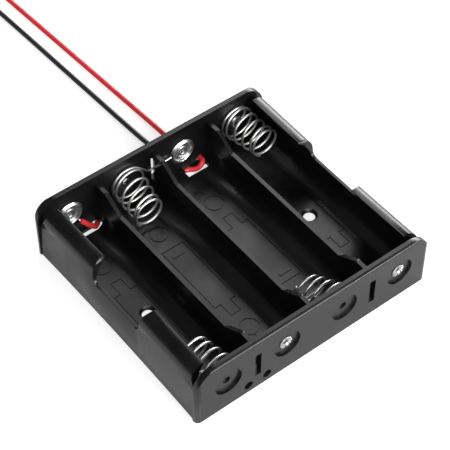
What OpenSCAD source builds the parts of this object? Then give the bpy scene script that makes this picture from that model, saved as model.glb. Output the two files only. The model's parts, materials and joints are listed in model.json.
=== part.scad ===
// Open-top holder for four cylindrical cells lying side by side, wired in series.
// One moulded tray carries dished positive contacts, conical springs, hollow
// eyelets and two flying leads. +Z up, X across the bays, Y along the cells;
// the origin is on the table under the middle of the tray.

/* [Cells] */
// Diameter of one cell
cell_d = 18.3; // [17.8:0.1:18.6]
// Length of one cell
cell_l = 65.2; // [64.6:0.1:68]
// Radial play between a cell and its bay
cell_play = 0.1; // [0.05:0.05:0.3]
// Distance between neighbouring cell axes
pitch = 19.7; // [19.5:0.1:22]

/* [Tray] */
// Thickness of the floor under the cells
floor_t = 1.15; // [1:0.05:2.5]
// Width of the flat strip along the middle of each bay
floor_flat_w = 8.2; // [7.9:0.1:11]
// Thickness of the side walls beside the cell axis
wall_t = 0.85; // [0.7:0.05:1.6]
// Height of the in-curled lip on the side walls
lip_top_z = 18.3; // [17.8:0.1:18.8]
// How far the lip reaches in from the outside of the wall
lip_reach = 4.5; // [3.8:0.1:5]
// Outer rounding of the lip
lip_round_r = 4.2; // [2.5:0.1:4.5]
// How far the middle of each side wall leans in while the bays are empty
wall_bow = 0.4; // [0.2:0.1:1.2]
// How far the top of a wall leans in when the bays are empty
wall_lean = 0.9; // [0:0.1:1.2]
// Thickness of the end plates
plate_t = 1.9; // [1.6:0.1:3]
// Height of the end plates
plate_h = 19.3; // [19.1:0.1:22]
// How far the end plates stand proud of the side walls
plate_proud = 0.35; // [0.1:0.05:1]
// Corner radius at the top of the end plates
plate_corner_r = 6.8; // [3:0.1:7]
// Rounding of the upright outer edges
upright_round_r = 1.5; // [0.6:0.1:1.8]
// Rounding of the top outer edge
top_round_r = 0.8; // [0.3:0.1:1.2]

/* [Cut-outs and partitions] */
// Length of the low middle of the side-wall cut-out
cutout_low_l = 16.8; // [10:0.2:24]
// Height of the side wall in its cut-out
cutout_low_z = 10.9; // [8:0.1:12]
// Run of the sloped ends of the cut-out
cutout_slope_l = 4.4; // [4.2:0.1:7]
// Gap left between the lip and the end plate, at lip height
lip_end_gap = 3; // [1.5:0.1:5]
// Length over which the partitions stay low
partition_low_l = 47.4; // [40:0.2:50]
// Height of the low middle of the partitions
partition_low_z = 12.4; // [11.5:0.1:14]
// Height of the partition ends
partition_high_z = 16.4; // [15.5:0.1:17.5]
// Run of the slope between them
partition_slope_l = 7.2; // [4.4:0.1:8]

/* [Contacts] */
// Outer diameter of the dished positive contact
contact_d = 8.6; // [8:0.1:9.6]
// Height of the positive contact above the end plate
contact_h = 1.05; // [1:0.05:1.5]
// Sheet thickness of the positive contact
contact_t = 0.25; // [0.2:0.05:0.25]
// Outside diameter of the eyelet barrels
eyelet_d = 2.2; // [1.8:0.1:2.6]
// Bore of the eyelets
eyelet_bore_d = 1.5; // [1:0.1:1.6]
// Diameter of the eyelet flanges
eyelet_flange_d = 3.7; // [3.3:0.1:4]
// Play of the eyelet barrels in the plate
eyelet_play = 0.05; // [0.02:0.01:0.1]
// Diameter of the round recess outside each contact
recess_d = 8.7; // [7:0.1:10]
// Depth of that recess
recess_depth = 0.8; // [0.5:0.1:0.9]
// Wire diameter of the springs
spring_wire_d = 0.75; // [0.6:0.05:0.8]
// Diameter of the spring at the end plate, to the wire centre
spring_base_d = 10.4; // [9:0.1:11.4]
// Diameter of the spring at its free end, to the wire centre
spring_tip_d = 9; // [7:0.1:9.6]
// Free length of the springs
spring_free_l = 12.2; // [10:0.1:13]
// Length left for a spring behind a fitted cell
spring_fitted_l = 4.6; // [4.5:0.1:6]

/* [Slots and holes] */
// Width of the upright slots that the spring links pass through
link_slot_w = 2; // [1.6:0.1:3]
// Height of those slots
link_slot_h = 8.8; // [6:0.1:10]
// Depth of the notch they leave in the partition
link_notch_l = 1.3; // [1.1:0.1:2.5]
// Spacing of the two mounting holes
mount_spacing = 57.6; // [56:0.1:59]
// Through diameter of the mounting holes
mount_d = 3.5; // [3:0.1:3.8]
// Diameter of their countersinks
mount_sink_d = 4.9; // [4.6:0.1:6]
// Length of the wire slots in the floor of bays 1 and 3
wire_slot_l = 7.6; // [5:0.1:8]
// Width of the wire slots
wire_slot_w = 2; // [1.9:0.1:2.3]

/* [Leads] */
// Diameter of the lead insulation
lead_d = 1.6; // [1.2:0.1:1.6]
// Play of a lead in its hole
lead_play = 0.2; // [0.1:0.05:0.4]
// Diameter of the lead holes in both end plates
lead_hole_d = 2.7; // [2:0.1:2.8]
// Length of the tinned ends
lead_tip_l = 6; // [4:0.5:10]
// Diameter of the tinned ends
lead_core_d = 0.8; // [0.5:0.1:1]

/* [Marks] */
// Depth of the cell outlines and the round marks in the floor
mark_depth = 0.2; // [0.1:0.05:0.3]
// Line width of the cell outlines
mark_line_w = 0.35; // [0.25:0.05:0.6]
// Height of the raised polarity signs
sign_h = 0.2; // [0.1:0.05:0.3]

/* [Hidden] */
eps = 0.01;
circle_fn = 48;
join = 0.01;

// Bays, counted along +X. The positive end is at the rear (+1) or front (-1).
bays = [0, 1, 2, 3];
function bay_x(b) = (b - 1.5)*pitch;
function positive_side(b) = b % 2 == 0 ? 1 : -1;

// Sizes that follow from the cells
bay_r = cell_d/2 + cell_play;
axis_z = floor_t + bay_r;
flat_half = floor_flat_w/2;
cradle_r = bay_r - flat_half;
cradle_z = floor_t + cradle_r;
partition_t = pitch - 2*bay_r;
inner_half = (cell_l + contact_h + spring_fitted_l)/2;
outer_half = inner_half + plate_t;
wall_out = bay_r + wall_t;
plate_half_w = 1.5*pitch + wall_out + plate_proud;
lip_tip_x = wall_out - lip_reach;
pocket_y = inner_half - 3.5;

// Side walls bend on a long arc, leaning in at the middle
bow_r = (inner_half*inner_half + wall_bow*wall_bow)/(2*wall_bow);
bow_angle = 2*asin((inner_half + plate_t/2)/bow_r);

// Groove under the foot of the rear plate for the red inner run
groove_w = lead_d + lead_play;
groove_y = inner_half + 0.23;
groove_h = lead_d + 0.15;
foot_l = 1.1;
foot_z = groove_h + 0.4;
slot_front_y = inner_half - 2.9;
wire_slot_x0 = 0.5;
lead_hole_z = 2.9;
lead_hole_dx = 3.1;
link_slot_z = axis_z - 0.75;

// Cell outline in the floor: body and nub
outline_w = 7.7;
outline_l = 29.5;
nub_w = 3.6;
nub_l = 4.7;
outline_y = -0.8;
mount_y = -0.5;
round_mark_d = 5.9;

// Height of the wire layer under the rim of a positive contact
rim_z = contact_h - contact_t;
seat_gap = 0.03;
wire_seat = spring_wire_d/2 + seat_gap;
eyelet_web = plate_t - recess_depth;

// Routes of the wires: round points chosen along the way they lie. The red lead
// counts from its hole in the rear plate and the black one from the last bay,
// with Y from the plate's outer face; the inner run counts from its slots and
// that hole, with Y from the inner face.
red_route = [[0, 0, 2.9], [-0.15, 1.6, 2.75], [-0.45, 3.8, 2.05], [-0.8, 6.4, 1.25],
    [-1.2, 9.6, 0.85], [-1.5, 13.6, 0.82], [-1.8, 20, 0.82], [-2.4, 32, 0.82],
    [-3, 44, 0.82], [-3.6, 56, 0.82], [-4.2, 68, 0.82], [-4.8, 80, 0.82],
    [-5.4, 92, 0.82], [-5.9, 104, 0.82], [-6.3, 116, 0.82], [-6.6, 128, 0.82],
    [-6.8, 138, 0.82], [-6.9, 149.3, 0.82]];
black_route = [[-1.35, 1.1, 10.35], [-3.15, 1.3, 10.2], [-6.15, 1.7, 9.6],
    [-9.25, 2.2, 8.6], [-12.15, 3, 7.2], [-14.95, 4.3, 5.5], [-17.35, 6.3, 3.7],
    [-19.15, 9, 2], [-20.25, 12, 1.05], [-20.75, 15, 0.82], [-21.25, 24, 0.82],
    [-21.75, 36, 0.82], [-22.25, 48, 0.82], [-22.75, 60, 0.82], [-23.25, 73, 0.82],
    [-23.85, 86, 0.82], [-24.35, 98, 0.82], [-24.75, 110, 0.82], [-25.05, 122, 0.82],
    [-25.25, 132.6, 0.82]];
// Inner run: down from the first contact, through the groove, up to the lead hole
function rim_edge(past, y) = [bay_x(0) + (contact_d/2 + past)*cos(56), y, axis_z - (contact_d/2 + past)*sin(56)];
run_down = [[3.65, -1.3, 5.3], [4.55, -1.8, 4.3], [5.55, -2, 3.2],
    [6.45, -1.95, 2.15], [7.25, -1.75, 1.35], [8.15, -1, 0.9], [9.35, -0.05, 0.85], [10.95, 0.23, 0.85]];
run_level = [0.2, 0.4, 0.6, 0.8];
run_up = [[-0.85, 0.23, 0.85], [0.75, -0.05, 0.85], [1.85, -0.9, 0.9], [2.85, -1.75, 1.4]];
run_out = [[-2.7, -2, 2.2], [-1.3, -1.95, 3], [-0.3, -1.4, 3.15], [0, -0.5, 2.95], [0, 0.8, 2.9], [0, 1.9, 2.9]];
run_start = bay_x(0) + run_down[len(run_down) - 1][0];
run_end = bay_x(2) + run_up[0][0];
inner_run_route = concat(
    [rim_edge(0.85, -0.88)],
    [for (q = run_down) [bay_x(0) + q[0], q[1], q[2]]],
    [for (t = run_level) [run_start + t*(run_end - run_start), 0.23, 0.85]],
    [for (q = run_up) [bay_x(2) + q[0], q[1], q[2]]],
    [for (q = run_out) [pitch - lead_hole_dx + q[0], q[1], q[2]]]);
inner_core_route = [rim_edge(-0.85, -0.4), rim_edge(-0.05, -0.42), rim_edge(0.85, -0.88)];

// ---------- helpers ----------

// Moves a shape drawn along X to every bay
module at_bay(b) translate([bay_x(b), 0, 0]) children();

// Extrudes a cross-section drawn in X and Z along Y, from y0 to y1
module along_y(y0, y1)
    translate([0, y1, 0]) rotate([90, 0, 0]) linear_extrude(y1 - y0) children();

// Extrudes a side view drawn in Y and Z along X, from x0 to x1
module along_x(x0, x1)
    translate([x0, 0, 0]) rotate([90, 0, 90]) linear_extrude(x1 - x0) children();

// Puts a shape built on z = 0 and rising into the bay onto the inner face of an
// end plate, on the axis of bay b. side is +1 for the rear plate.
module on_plate(b, side)
    translate([bay_x(b), side*inner_half, axis_z]) rotate([90*side, 0, 0]) children();

// Side view of a step up with a hollow foot and a rounded shoulder: solid at y
// beyond the slope, from z = 0 up to z_hi, as far as y_end. The circles reach
// join past the straight slope, so that they cross it instead of grazing it.
module step_up(y_lo, z_lo, run, z_hi, r, y_end) {
    c_lo = [y_lo, z_lo + r - join];
    c_hi = [y_lo + run, z_hi - r];
    d = c_hi - c_lo;
    phi = atan2(d[1], d[0]) + asin(2*r/norm(d));
    n = [sin(phi), -cos(phi)];
    difference() {
        union() {
            polygon([c_hi - (r - join)*n, c_lo + (r - join)*n, [y_lo, z_lo], [y_lo, 0],
                [y_end, 0], [y_end, z_hi], [c_hi[0], z_hi]]);
            translate(c_hi) circle(r = r, $fn = circle_fn);
        }
        translate(c_lo) circle(r = r, $fn = circle_fn);
    }
}

// ---------- tray ----------

// Cross-section of one bay, open upwards
module bay_section() {
    for (s = [-1, 1]) translate([s*flat_half, cradle_z]) circle(r = cradle_r, $fn = circle_fn);
    translate([-flat_half, floor_t]) square([2*flat_half, cradle_r]);
    translate([-bay_r, cradle_z]) square([2*bay_r, plate_h]);
}

// Cross-section of the right-hand wall with its curled lip, x from the cell axis
module wall_section() difference() {
    union() {
        translate([flat_half, 0]) square([wall_out - flat_half, lip_top_z - lip_round_r]);
        translate([wall_out - lip_round_r, lip_top_z - lip_round_r])
            circle(r = lip_round_r, $fn = circle_fn);
        translate([lip_tip_x, axis_z])
            square([wall_out - lip_round_r - lip_tip_x, lip_top_z - axis_z]);
    }
    translate([0, axis_z]) circle(r = bay_r, $fn = 2*circle_fn);
    translate([flat_half, cradle_z]) circle(r = cradle_r, $fn = circle_fn);
    translate([0, cradle_z]) square([bay_r, axis_z - cradle_z]);
    translate([-1, axis_z]) square([1 + lip_tip_x, plate_h]);
}

// Side view of what is left of a wall: lips at both ends, low in the middle
module wall_side_view() {
    translate([-outer_half, 0]) square([2*outer_half, cutout_low_z]);
    for (m = [0, 1]) mirror([m, 0]) difference() {
        step_up(cutout_low_l/2, cutout_low_z, cutout_slope_l, lip_top_z, 2, inner_half + 1);
        polygon([[inner_half + 2, cutout_low_z], [inner_half, cutout_low_z],
            [inner_half - lip_end_gap*0.3, cutout_low_z + 2.6],
            [inner_half - lip_end_gap*0.7, cutout_low_z + 5.2],
            [inner_half - lip_end_gap, plate_h + 1], [inner_half + 2, plate_h + 1]]);
    }
}

// Wall with its lip, bowed along its length and leaning in about its lower outer edge
module side_wall() intersection() {
    translate([1.5*pitch + wall_out, 0, 0]) rotate([0, -asin(wall_lean/lip_top_z), 0])
        translate([bow_r - wall_bow, 0, -join]) rotate([0, 0, 180 - bow_angle/2])
            rotate_extrude(angle = bow_angle, $fn = ceil(3600/bow_angle))
                translate([bow_r + wall_out, 0]) mirror([1, 0]) wall_section();
    along_x(pitch, plate_half_w) wall_side_view();
}

// Side view of the partitions: low in the middle, high at both ends
module partition_side_view() {
    translate([-inner_half - plate_t/2, 0]) square([2*inner_half + plate_t, partition_low_z]);
    for (m = [0, 1]) mirror([m, 0])
        step_up(partition_low_l/2, partition_low_z, partition_slope_l, partition_high_z, 1.5,
            inner_half + plate_t/2);
}

module cradle() intersection() {
    along_y(-inner_half - plate_t/2, inner_half + plate_t/2) difference() {
        translate([-1.5*pitch - flat_half - cradle_r + 0.5, 0]) square([3*pitch + 2*(flat_half + cradle_r) - 1, partition_high_z]);
        for (b = bays) translate([bay_x(b), 0]) bay_section();
    }
    along_x(-plate_half_w, plate_half_w) partition_side_view();
}

// Flat-floored pockets that give the contacts room at both ends of every bay
module contact_pockets() for (b = bays, s = [-1, 1])
    translate([bay_x(b) - bay_r, s > 0 ? pocket_y : -inner_half, floor_t])
        cube([2*bay_r, inner_half - pocket_y, axis_z - floor_t]);

// One end plate, standing at y from inner_half outwards
module end_plate() intersection() {
    along_y(inner_half, outer_half) {
        translate([-plate_half_w, 0]) square([2*plate_half_w, plate_h - plate_corner_r]);
        translate([-plate_half_w + plate_corner_r, 0])
            square([2*(plate_half_w - plate_corner_r), plate_h]);
        for (s = [-1, 1]) translate([s*(plate_half_w - plate_corner_r), plate_h - plate_corner_r])
            circle(r = plate_corner_r, $fn = circle_fn);
    }
    along_x(-plate_half_w, plate_half_w) {
        translate([inner_half, 0]) square([plate_t, plate_h - top_round_r]);
        translate([inner_half, 0]) square([plate_t - top_round_r, plate_h]);
        translate([outer_half - top_round_r, plate_h - top_round_r])
            circle(r = top_round_r, $fn = circle_fn);
    }
    linear_extrude(plate_h) {
        translate([-plate_half_w, inner_half]) square([2*plate_half_w, plate_t - upright_round_r]);
        translate([-plate_half_w + upright_round_r, inner_half])
            square([2*(plate_half_w - upright_round_r), plate_t]);
        for (s = [-1, 1]) translate([s*(plate_half_w - upright_round_r), outer_half - upright_round_r])
            circle(r = upright_round_r, $fn = circle_fn);
    }
}

// Recess, eyelet hole, link slots and lead holes of one end plate. link_x lists
// where the slots are, hole_x the partition beside which the lead holes are.
module plate_cuts(side, link_x, hole_x) {
    for (b = bays) on_plate(b, side) {
        translate([0, 0, -plate_t - 1]) cylinder(d = recess_d, h = 1 + recess_depth, $fn = circle_fn);
        translate([0, 0, -plate_t - 1]) cylinder(d = eyelet_d + 2*eyelet_play, h = plate_t + 2, $fn = 32);
    }
    for (x = link_x) translate([x - link_slot_w/2, side > 0 ? inner_half - link_notch_l : -outer_half - 1,
            link_slot_z - link_slot_h/2])
        cube([link_slot_w, link_notch_l + plate_t + 1, link_slot_h]);
    for (s = [-1, 1]) translate([hole_x + s*lead_hole_dx, side*(inner_half + plate_t/2), lead_hole_z])
        rotate([90, 0, 0]) cylinder(d = lead_hole_d, h = plate_t + 2, center = true, $fn = 32);
}

// Small foot inside the rear plate that roofs the wire groove below it
module groove_foot() difference() {
    translate([bay_x(0), inner_half - foot_l, 0]) cube([bay_x(2) - bay_x(0) + bay_r/2, foot_l + eps, foot_z]);
    for (b = [0, 2]) translate([bay_x(b) + wire_slot_x0, slot_front_y, floor_t])
        cube([wire_slot_l + 0.4, inner_half, foot_z]);
}

module wire_groove() {
    translate([bay_x(0) + bay_r - 2, groove_y - groove_w/2 + eps, -1])
        cube([bay_x(2) - bay_x(0) - bay_r + 4.5, groove_w, groove_h + 1]);
    for (b = [0, 2]) {
        translate([bay_x(b) + wire_slot_x0, slot_front_y, -1])
            cube([wire_slot_l, wire_slot_w, axis_z - 2]);
    }
    translate([bay_x(0) + bay_r - 2, slot_front_y, -1])
        cube([groove_w + 1, groove_y - slot_front_y, groove_h + 1]);
    translate([bay_x(2) + wire_slot_x0, slot_front_y, -1])
        cube([groove_w + 1, groove_y - slot_front_y, groove_h + 1]);
}

module mounting_holes() for (s = [-1, 1]) translate([s*mount_spacing/2, mount_y, 0]) {
    translate([0, 0, -1]) cylinder(d = mount_d, h = floor_t + 2, $fn = circle_fn);
    translate([0, 0, floor_t - (mount_sink_d - mount_d)/2])
        cylinder(d1 = mount_d, d2 = mount_sink_d + 0.02, h = (mount_sink_d - mount_d)/2 + 0.01, $fn = circle_fn);
}

// Plan of a cell with its nub towards +Y, shrunk by i on every side
module cell_plan(i) {
    translate([-outline_w/2 + i, -outline_l/2 + i]) square([outline_w - 2*i, outline_l - nub_l - 2*i]);
    translate([-nub_w/2 + i, outline_l/2 - nub_l - 2*i]) square([nub_w - 2*i, nub_l + i]);
}

module floor_marks() {
    for (b = bays) at_bay(b) translate([0, outline_y, floor_t - mark_depth]) mirror([0, positive_side(b) < 0 ? 1 : 0, 0])
        linear_extrude(mark_depth + 1) difference() { cell_plan(0); cell_plan(mark_line_w); }
    for (p = [[0, 20.4], [1, 20.2], [2, 19.9], [1, -21.4], [3, 20.2]])
        translate([bay_x(p[0]), p[1], floor_t - mark_depth]) difference() {
            cylinder(d = round_mark_d, h = 1, $fn = circle_fn);
            translate([0, 0, -1]) cylinder(d = round_mark_d - 2*mark_line_w, h = 3, $fn = circle_fn);
        }
}

// Raised plus at each positive end and minus towards each spring
module polarity_signs() for (b = bays) at_bay(b) {
    p = positive_side(b);
    translate([0, p*26.5, floor_t + sign_h/2 - eps]) {
        cube([4.4, 1, sign_h + 2*eps], center = true);
        cube([1, 4.4, sign_h + 2*eps], center = true);
    }
    translate([0, -p*11.6 + outline_y, floor_t + sign_h/2 - eps]) cube([4, 1, sign_h + 2*eps], center = true);
}

module tray() color([0.09, 0.09, 0.1]) {
    difference() {
        union() {
            difference() {
                union() {
                    cradle();
                    for (m = [0, 1]) mirror([m, 0, 0]) side_wall();
                }
                contact_pockets();
            }
            for (m = [0, 1]) mirror([0, m, 0]) end_plate();
            groove_foot();
        }
        plate_cuts(-1, [-pitch, pitch], -pitch);
        plate_cuts(1, [0], pitch);
        wire_groove();
        mounting_holes();
        floor_marks();
    }
    polarity_signs();
}

// ---------- contacts ----------

// Pressed positive contact: flat seat, sloping wall and a flat rim
module positive_contact(b) color([0.82, 0.82, 0.8])
    on_plate(b, positive_side(b)) rotate_extrude($fn = 40)
        polygon([[eyelet_d/2 + eyelet_play, 0], [2.5, 0], [3.2, rim_z], [contact_d/2, rim_z],
            [contact_d/2, contact_h - 0.08], [contact_d/2 - 0.1, contact_h], [3.05, contact_h],
            [2.35, contact_t], [eyelet_d/2 + eyelet_play, contact_t]]);

// Hollow eyelet through an end plate: flange inside at height grip, flared rim outside
module eyelet(b, side, grip) color([0.75, 0.74, 0.7])
    on_plate(b, side) rotate_extrude($fn = 32)
        polygon([[eyelet_bore_d/2, grip + 0.2], [eyelet_bore_d/2 + 0.15, grip + 0.3],
            [eyelet_flange_d/2 - 0.12, grip + 0.3], [eyelet_flange_d/2, grip + 0.15], [eyelet_flange_d/2, grip],
            [eyelet_d/2, grip], [eyelet_d/2, -eyelet_web], [eyelet_flange_d/2, -eyelet_web],
            [eyelet_flange_d/2 + 0.1, -eyelet_web - 0.2], [eyelet_flange_d/2 - 0.25, -eyelet_web - 0.38],
            [eyelet_bore_d/2 + 0.15, -eyelet_web - 0.24], [eyelet_bore_d/2, -eyelet_web - 0.05]]);

// ---------- wires ----------

// Smooth curve through hand-picked points, n steps to each span
function spline_point(p0, p1, p2, p3, t) =
    0.5*(2*p1 + (p2 - p0)*t + (2*p0 - 5*p1 + 4*p2 - p3)*t*t + (3*p1 - p0 - 3*p2 + p3)*t*t*t);
function smooth(p, n) = let (m = len(p) - 1) concat(
    [for (i = [0:m - 1], k = [0:n - 1]) spline_point(p[max(i - 1, 0)], p[i], p[i + 1], p[min(i + 2, m)], k/n)],
    [p[m]]);
function unit(v) = v/norm(v);
function tangent(p, i) = unit(p[min(i + 1, len(p) - 1)] - p[max(i - 1, 0)]);
// Sideways direction carried along the path without twisting
function carried(p, first) = [for (i = 0, s = first; i < len(p);
    i = i + 1, s = i < len(p) ? unit(s - tangent(p, i)*(s*tangent(p, i))) : s) s];

// Round wire of diameter d swept along the points p; side0 is square to its start
module wire(p, d, sides, side0) {
    n = len(p);
    t0 = tangent(p, 0);
    s = carried(p, unit(side0 - t0*(side0*t0)));
    pts = [for (i = [0:n - 1], k = [0:sides - 1]) let (a = 360*k/sides, u = s[i], v = cross(tangent(p, i), s[i]))
        p[i] + d/2*(cos(a)*u + sin(a)*v)];
    polyhedron(pts, concat(
        [[for (k = [0:sides - 1]) k]],
        [for (i = [0:n - 2], k = [0:sides - 1]) [i*sides + k, (i + 1)*sides + k,
            (i + 1)*sides + (k + 1) % sides, i*sides + (k + 1) % sides]],
        [[for (k = [sides - 1:-1:0]) (n - 1)*sides + k]]));
}

// Points of a conical spring on its plate: lead-in points, one flat turn at the
// base, open turns that taper, and one closed turn at the tip. start is the angle
// where the base turn begins, lean how far the free end sits off the axis.
turns_base = 1;
turns_open = 3.4;
turns_tip = 1.1;
ring_steps = 14;
function coil_points(start, lean) = let (
        seat = wire_seat,
        end = spring_free_l - seat,
        pitch_tip = spring_wire_d*1.1,
        n = round((turns_base + turns_open + turns_tip)*ring_steps))
    [for (i = [0:n]) let (
        t = i/ring_steps,
        u = min(max((t - turns_base)/turns_open, 0), 1),
        w = max(t - turns_base - turns_open, 0),
        h = t < turns_base ? seat + spring_wire_d*1.1*t :
            seat + spring_wire_d*1.1*turns_base + u*(end - seat - 1.1*spring_wire_d*turns_base - pitch_tip*turns_tip) + w*pitch_tip,
        r = spring_base_d/2 + (spring_tip_d - spring_base_d)/2*u,
        a = start + 360*t,
        q = (h - seat)/(end - seat))
        [r*cos(a) + lean[0]*q, r*sin(a) + lean[1]*q, h]];

// Spring whose wire runs on, under the rim of the next bay's positive contact
link_reach = pitch - contact_d/2 + 0.5;
link_start = 45;
function link_points() = let (
        ring = spring_base_d/2*[cos(link_start), sin(link_start)],
        away = [sin(link_start), -cos(link_start)],
        bend = ring + 5.2*away)
    [[link_reach, 0.1, wire_seat], [link_reach - 2.5, 0, wire_seat], [pitch/2 + 0.8, -0.2, wire_seat],
        [max(pitch/2 - 1.2, bend[0] + 1), bend[1] - 0.2, wire_seat], [bend[0], bend[1], wire_seat],
        [ring[0] + 3.5*away[0], ring[1] + 3.5*away[1], wire_seat], [ring[0] + 1.6*away[0], ring[1] + 1.6*away[1], wire_seat]];

module linked_spring(b, side, lean) color([0.86, 0.86, 0.86]) on_plate(b, side)
    wire(concat(smooth(link_points(), 2), coil_points(link_start, lean)), spring_wire_d, 6, [0, 0, 1]);

// Spring whose wire ends in a small eye under the flange of its own eyelet
eye_r = eyelet_d/2 + eyelet_play + spring_wire_d/2 + 0.02;
function eye_points() = concat(
    [for (i = [0:10]) [eye_r*cos(-330 + 30*i), eye_r*sin(-330 + 30*i), wire_seat]],
    [for (i = [1:6]) let (q = i/7, a = 30*q*3.2) [(eye_r + (spring_base_d/2 - eye_r)*q)*cos(-30 + a),
        (eye_r + (spring_base_d/2 - eye_r)*q)*sin(-30 + a), wire_seat]]);

module eyelet_spring(b, side, lean) color([0.86, 0.86, 0.86]) on_plate(b, side)
    wire(concat(eye_points(), coil_points(66, lean)), spring_wire_d, 6, [0, 0, 1]);

// Routes are given from the outer or inner face of the rear plate
function from_plate(p, y0, x0 = 0) = [for (q = p) [q[0] + x0, q[1] + y0, q[2]]];
function cut_tip(p, l) = p[len(p) - 1] - l*unit(p[len(p) - 1] - p[len(p) - 2]);

red_path = from_plate(red_route, outer_half, pitch - lead_hole_dx);
black_path = from_plate(black_route, outer_half, bay_x(3));

module lead(p) wire(smooth(p, 2), lead_d, 8, [1, 0, 0]);

module lead_tip(p) color([0.8, 0.8, 0.82]) {
    e = p[len(p) - 1];
    d = unit(e - cut_tip(p, 1));
    wire([e, e + lead_tip_l/2*d, e + lead_tip_l*d], lead_core_d, 8, [0, 0, 1]);
}

// Bare end of the red inner run, laid under the rim of the first contact
module red_inner_core() color([0.8, 0.8, 0.82])
    wire(from_plate(inner_core_route, inner_half), 0.7, 8, [0, 0, 1]);

// Solder between the negative eyelet and the black lead
module black_solder() color([0.7, 0.7, 0.72])
    translate([bay_x(3), inner_half + eyelet_web + 0.38, axis_z]) rotate([-90, 0, 0])
        cylinder(r1 = 1.5, r2 = 1, h = 1.9, $fn = 24);

tray();
linked_spring(0, -1, [-1.6, -0.6]);  // contact_spring_1
linked_spring(1, 1, [-0.5, -2.8]);  // contact_spring_2
linked_spring(2, -1, [-2, 3.8]);  // contact_spring_3
eyelet_spring(3, 1, [2.2, -1.3]);  // contact_spring_4
positive_contact(0);  // positive_contact_1
positive_contact(1);  // positive_contact_2
positive_contact(2);  // positive_contact_3
positive_contact(3);  // positive_contact_4
eyelet(0, 1, contact_t);  // eyelet_1
eyelet(1, -1, contact_t);  // eyelet_2
eyelet(2, 1, contact_t);  // eyelet_3
eyelet(3, -1, contact_t);  // eyelet_4
eyelet(3, 1, spring_wire_d + 2*seat_gap);  // eyelet_negative
color("red") wire(smooth(from_plate(inner_run_route, inner_half), 3), lead_d, 8, [0, 0, 1]);  // red_inner_run
color("red") lead(red_path);  // red_lead
color([0.05, 0.05, 0.05]) lead(black_path);  // black_lead
lead_tip(red_path);  // red_lead_tip
lead_tip(black_path);  // black_lead_tip
red_inner_core();
black_solder();
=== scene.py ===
"""Open tray for four cylindrical cells: looks, studio and camera.

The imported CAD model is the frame: +Z up, X across the bays, Y along the cells,
origin on the table under the middle of the tray. The moulded tray is shown as
the CAD makes it, with its edges slightly broken. Springs, contacts, eyelets,
wires and solder are built here as finer pieces that stand for their CAD nodes.
"""

from __future__ import annotations

import json
import logging
import math
from dataclasses import dataclass, field
from enum import Enum
from typing import Any, Callable, Sequence

import bmesh
import bpy
from mathutils import Matrix, Vector

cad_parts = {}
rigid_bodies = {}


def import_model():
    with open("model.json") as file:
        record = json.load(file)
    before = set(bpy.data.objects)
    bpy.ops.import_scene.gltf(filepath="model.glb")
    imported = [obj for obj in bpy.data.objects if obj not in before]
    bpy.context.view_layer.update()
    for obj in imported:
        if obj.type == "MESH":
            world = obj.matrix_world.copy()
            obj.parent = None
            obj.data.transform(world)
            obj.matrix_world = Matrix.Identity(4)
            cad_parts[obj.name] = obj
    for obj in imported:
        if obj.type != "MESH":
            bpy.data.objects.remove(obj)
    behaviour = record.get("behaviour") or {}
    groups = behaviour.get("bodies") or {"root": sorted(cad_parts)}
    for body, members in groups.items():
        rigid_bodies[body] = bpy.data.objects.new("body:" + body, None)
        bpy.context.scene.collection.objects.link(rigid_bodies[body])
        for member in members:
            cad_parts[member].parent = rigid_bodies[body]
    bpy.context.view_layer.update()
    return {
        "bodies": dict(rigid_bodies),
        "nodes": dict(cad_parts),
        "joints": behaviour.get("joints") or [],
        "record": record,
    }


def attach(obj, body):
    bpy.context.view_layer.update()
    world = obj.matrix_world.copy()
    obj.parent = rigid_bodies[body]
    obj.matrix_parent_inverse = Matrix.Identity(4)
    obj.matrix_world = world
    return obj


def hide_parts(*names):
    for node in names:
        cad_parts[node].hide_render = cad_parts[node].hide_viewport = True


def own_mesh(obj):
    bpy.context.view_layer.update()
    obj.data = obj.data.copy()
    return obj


log = logging.getLogger("cell_holder")

MM = 0.001
END_SHRINK = 0.72
END_SETBACK = 0.3
Point = tuple[float, float, float]
Colour = tuple[float, float, float, float]


# ---------------------------------------------------------------- sizes


@dataclass(frozen=True)
class HolderSizes:
    """Sizes that the pieces share, in millimetres, the same as in the part's source.

    Attributes:
        pitch: Distance between the axes of neighbouring bays.
        axis_z: Height of the cells' axes, where springs and contacts are centred.
        inner_half: Y of the inner faces of the end plates.
        outer_half: Y of the outer faces of the end plates.
        web: Plate left under a recess, which an eyelet clamps.
        contact_r: Radius of a contact's rim.
        lead_d: Diameter of a lead over its sleeve.
        strand_r: Radius of the bare strands in the tray.
        wire_d: Diameter of the spring wire.
        lead_hole_dx: Distance of the lead hole from the axis of the third partition.
    """

    pitch: float = 19.7
    axis_z: float = 10.4
    inner_half: float = 35.425
    outer_half: float = 37.325
    web: float = 1.1
    contact_r: float = 4.3
    lead_d: float = 1.6
    strand_r: float = 0.34
    wire_d: float = 0.75
    lead_hole_dx: float = 3.1

    def bay_x(self, bay: int) -> float:
        """X of the axis of a bay, counted from 0 along +X."""
        return (bay - 1.5) * self.pitch


SIZES = HolderSizes()


class End(Enum):
    """The two end plates: the sign is the direction of the plate along Y."""

    FRONT = -1
    REAR = 1


@dataclass(frozen=True)
class PlateFrame:
    """Maps (u, v, h) on the inner face of an end plate to the row frame.

    u runs along +X, h rises from the plate into the bay, and v completes the
    right-handed set, so that the same spring fits either end.
    """

    bay: int
    end: End

    def __call__(self, u: float, v: float, h: float) -> Vector:
        """Point in metres for local millimetres u, v, h."""
        s = self.end.value
        return Vector((SIZES.bay_x(self.bay) + u, s * (SIZES.inner_half - h), SIZES.axis_z + s * v)) * MM


# ---------------------------------------------------------------- mesh tools


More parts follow.
